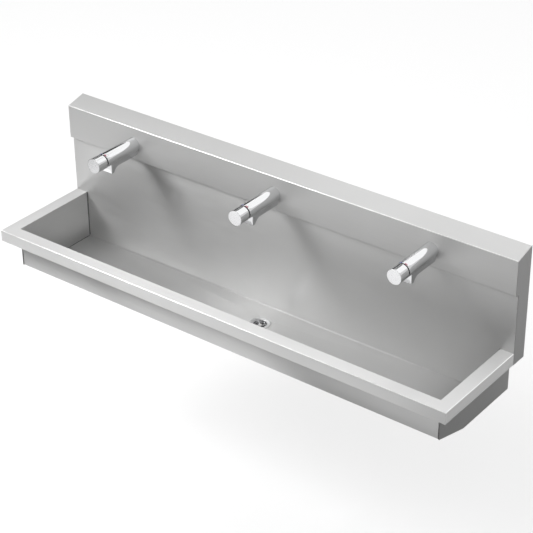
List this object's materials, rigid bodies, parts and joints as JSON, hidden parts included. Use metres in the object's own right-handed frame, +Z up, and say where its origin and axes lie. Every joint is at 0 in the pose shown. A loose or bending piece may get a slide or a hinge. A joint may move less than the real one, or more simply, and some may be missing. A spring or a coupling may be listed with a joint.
{
  "type": "trough sink",
  "caption": "Wall hung stainless wash trough with a high back housing, push button mixer taps and a central waste",
  "frame": {"origin": "centre of the four wall fixings: on the wall plane, in the middle of the length, level with the rim's top", "axes": "+X along the trough to the right as seen from the front, +Y into the wall, +Z up; the front faces -Y"},
  "size_m": [1.8, 0.447, 0.5965],
  "materials": {
    "bracket_steel": "mill finish stainless",
    "brass": "machined brass",
    "button_chrome": "polished chrome with a satin face",
    "cold_lever": "blue lever",
    "cold_paint": "blue inlay",
    "copper": "drawn copper tube",
    "grey_plastic": "grey moulded plastic",
    "header_steel": "satin brushed stainless sheet",
    "hot_lever": "red lever",
    "hot_paint": "red inlay",
    "pad": "bitumen damping pad",
    "rubber": "black rubber",
    "satin_steel": "satin brushed stainless sheet",
    "screw_steel": "stainless screw",
    "sleeve_plastic": "dark moulded plastic",
    "spring_steel": "spring wire",
    "tap_chrome": "polished chrome",
    "waste_steel": "polished stainless"
  },
  "bodies": {
    "sink": {"bowl": "satin_steel", "left_end_plate": "satin_steel", "right_end_plate": "satin_steel", "front_rim": "satin_steel", "left_rim": "satin_steel", "right_rim": "satin_steel", "splash_panel": "satin_steel", "header_cover": "header_steel", "left_cheek": "header_steel", "right_cheek": "header_steel", "header_rail": "bracket_steel", "cover_screws": "screw_steel", "top_rail": "bracket_steel", "left_wall_bracket": "bracket_steel", "right_wall_bracket": "bracket_steel", "sound_pads": "pad", "waste_body": "waste_steel", "waste_gasket": "rubber", "waste_washer": "rubber", "waste_nut": "grey_plastic", "waste_strainer": "waste_steel", "waste_screw": "screw_steel", "hot_manifold": "copper", "cold_manifold": "copper", "pipe_clips": "grey_plastic", "hot_stop_valve": "brass", "cold_stop_valve": "brass", "hot_supply_tail": "copper", "cold_supply_tail": "copper", "tap_plates": "bracket_steel", "tap_gaskets": "rubber", "tap_nuts": "brass", "hot_marks": "hot_paint", "cold_marks": "cold_paint", "flow_straighteners": "grey_plastic", "left_tap_body": "tap_chrome", "left_tap_cartridge": "brass", "left_tap_hot_feed": "copper", "left_tap_cold_feed": "copper", "middle_tap_body": "tap_chrome", "middle_tap_cartridge": "brass", "middle_tap_hot_feed": "copper", "middle_tap_cold_feed": "copper", "right_tap_body": "tap_chrome", "right_tap_cartridge": "brass", "right_tap_hot_feed": "copper", "right_tap_cold_feed": "copper"},
    "left_mixer": {"left_tap_sleeve": "sleeve_plastic"},
    "left_button": {"left_tap_spring": "spring_steel", "left_tap_button": "button_chrome"},
    "middle_mixer": {"middle_tap_sleeve": "sleeve_plastic"},
    "middle_button": {"middle_tap_spring": "spring_steel", "middle_tap_button": "button_chrome"},
    "right_mixer": {"right_tap_sleeve": "sleeve_plastic"},
    "right_button": {"right_tap_spring": "spring_steel", "right_tap_button": "button_chrome"},
    "hot_lever": {"hot_stop_key": "hot_lever"},
    "cold_lever": {"cold_stop_key": "cold_lever"}
  },
  "joints": [
    {"name": "left_tap_mix", "type": "hinge", "parent": "sink", "child": "left_mixer", "pos_m": [-0.6, -0.2, 0.2685], "axis": [0, 1, 0], "range_deg": [-45, 45]},
    {"name": "left_tap_push", "type": "slide", "parent": "left_mixer", "child": "left_button", "axis": [0, 1, 0], "range_m": [0, 0.0045], "stiffness_N_per_m": 1500, "springref_m": -0.004, "deforming": ["left_tap_spring"]},
    {"name": "middle_tap_mix", "type": "hinge", "parent": "sink", "child": "middle_mixer", "pos_m": [0, -0.2, 0.2685], "axis": [0, 1, 0], "range_deg": [-45, 45]},
    {"name": "middle_tap_push", "type": "slide", "parent": "middle_mixer", "child": "middle_button", "axis": [0, 1, 0], "range_m": [0, 0.0045], "stiffness_N_per_m": 1500, "springref_m": -0.004, "deforming": ["middle_tap_spring"]},
    {"name": "right_tap_mix", "type": "hinge", "parent": "sink", "child": "right_mixer", "pos_m": [0.6, -0.2, 0.2685], "axis": [0, 1, 0], "range_deg": [-45, 45]},
    {"name": "right_tap_push", "type": "slide", "parent": "right_mixer", "child": "right_button", "axis": [0, 1, 0], "range_m": [0, 0.0045], "stiffness_N_per_m": 1500, "springref_m": -0.004, "deforming": ["right_tap_spring"]},
    {"name": "hot_stop_turn", "type": "hinge", "parent": "sink", "child": "hot_lever", "pos_m": [-0.65, -0.022, -0.06], "axis": [-1, 0, 0], "range_deg": [0, 90]},
    {"name": "cold_stop_turn", "type": "hinge", "parent": "sink", "child": "cold_lever", "pos_m": [0.65, -0.022, -0.06], "axis": [-1, 0, 0], "range_deg": [0, 90]}
  ]
}
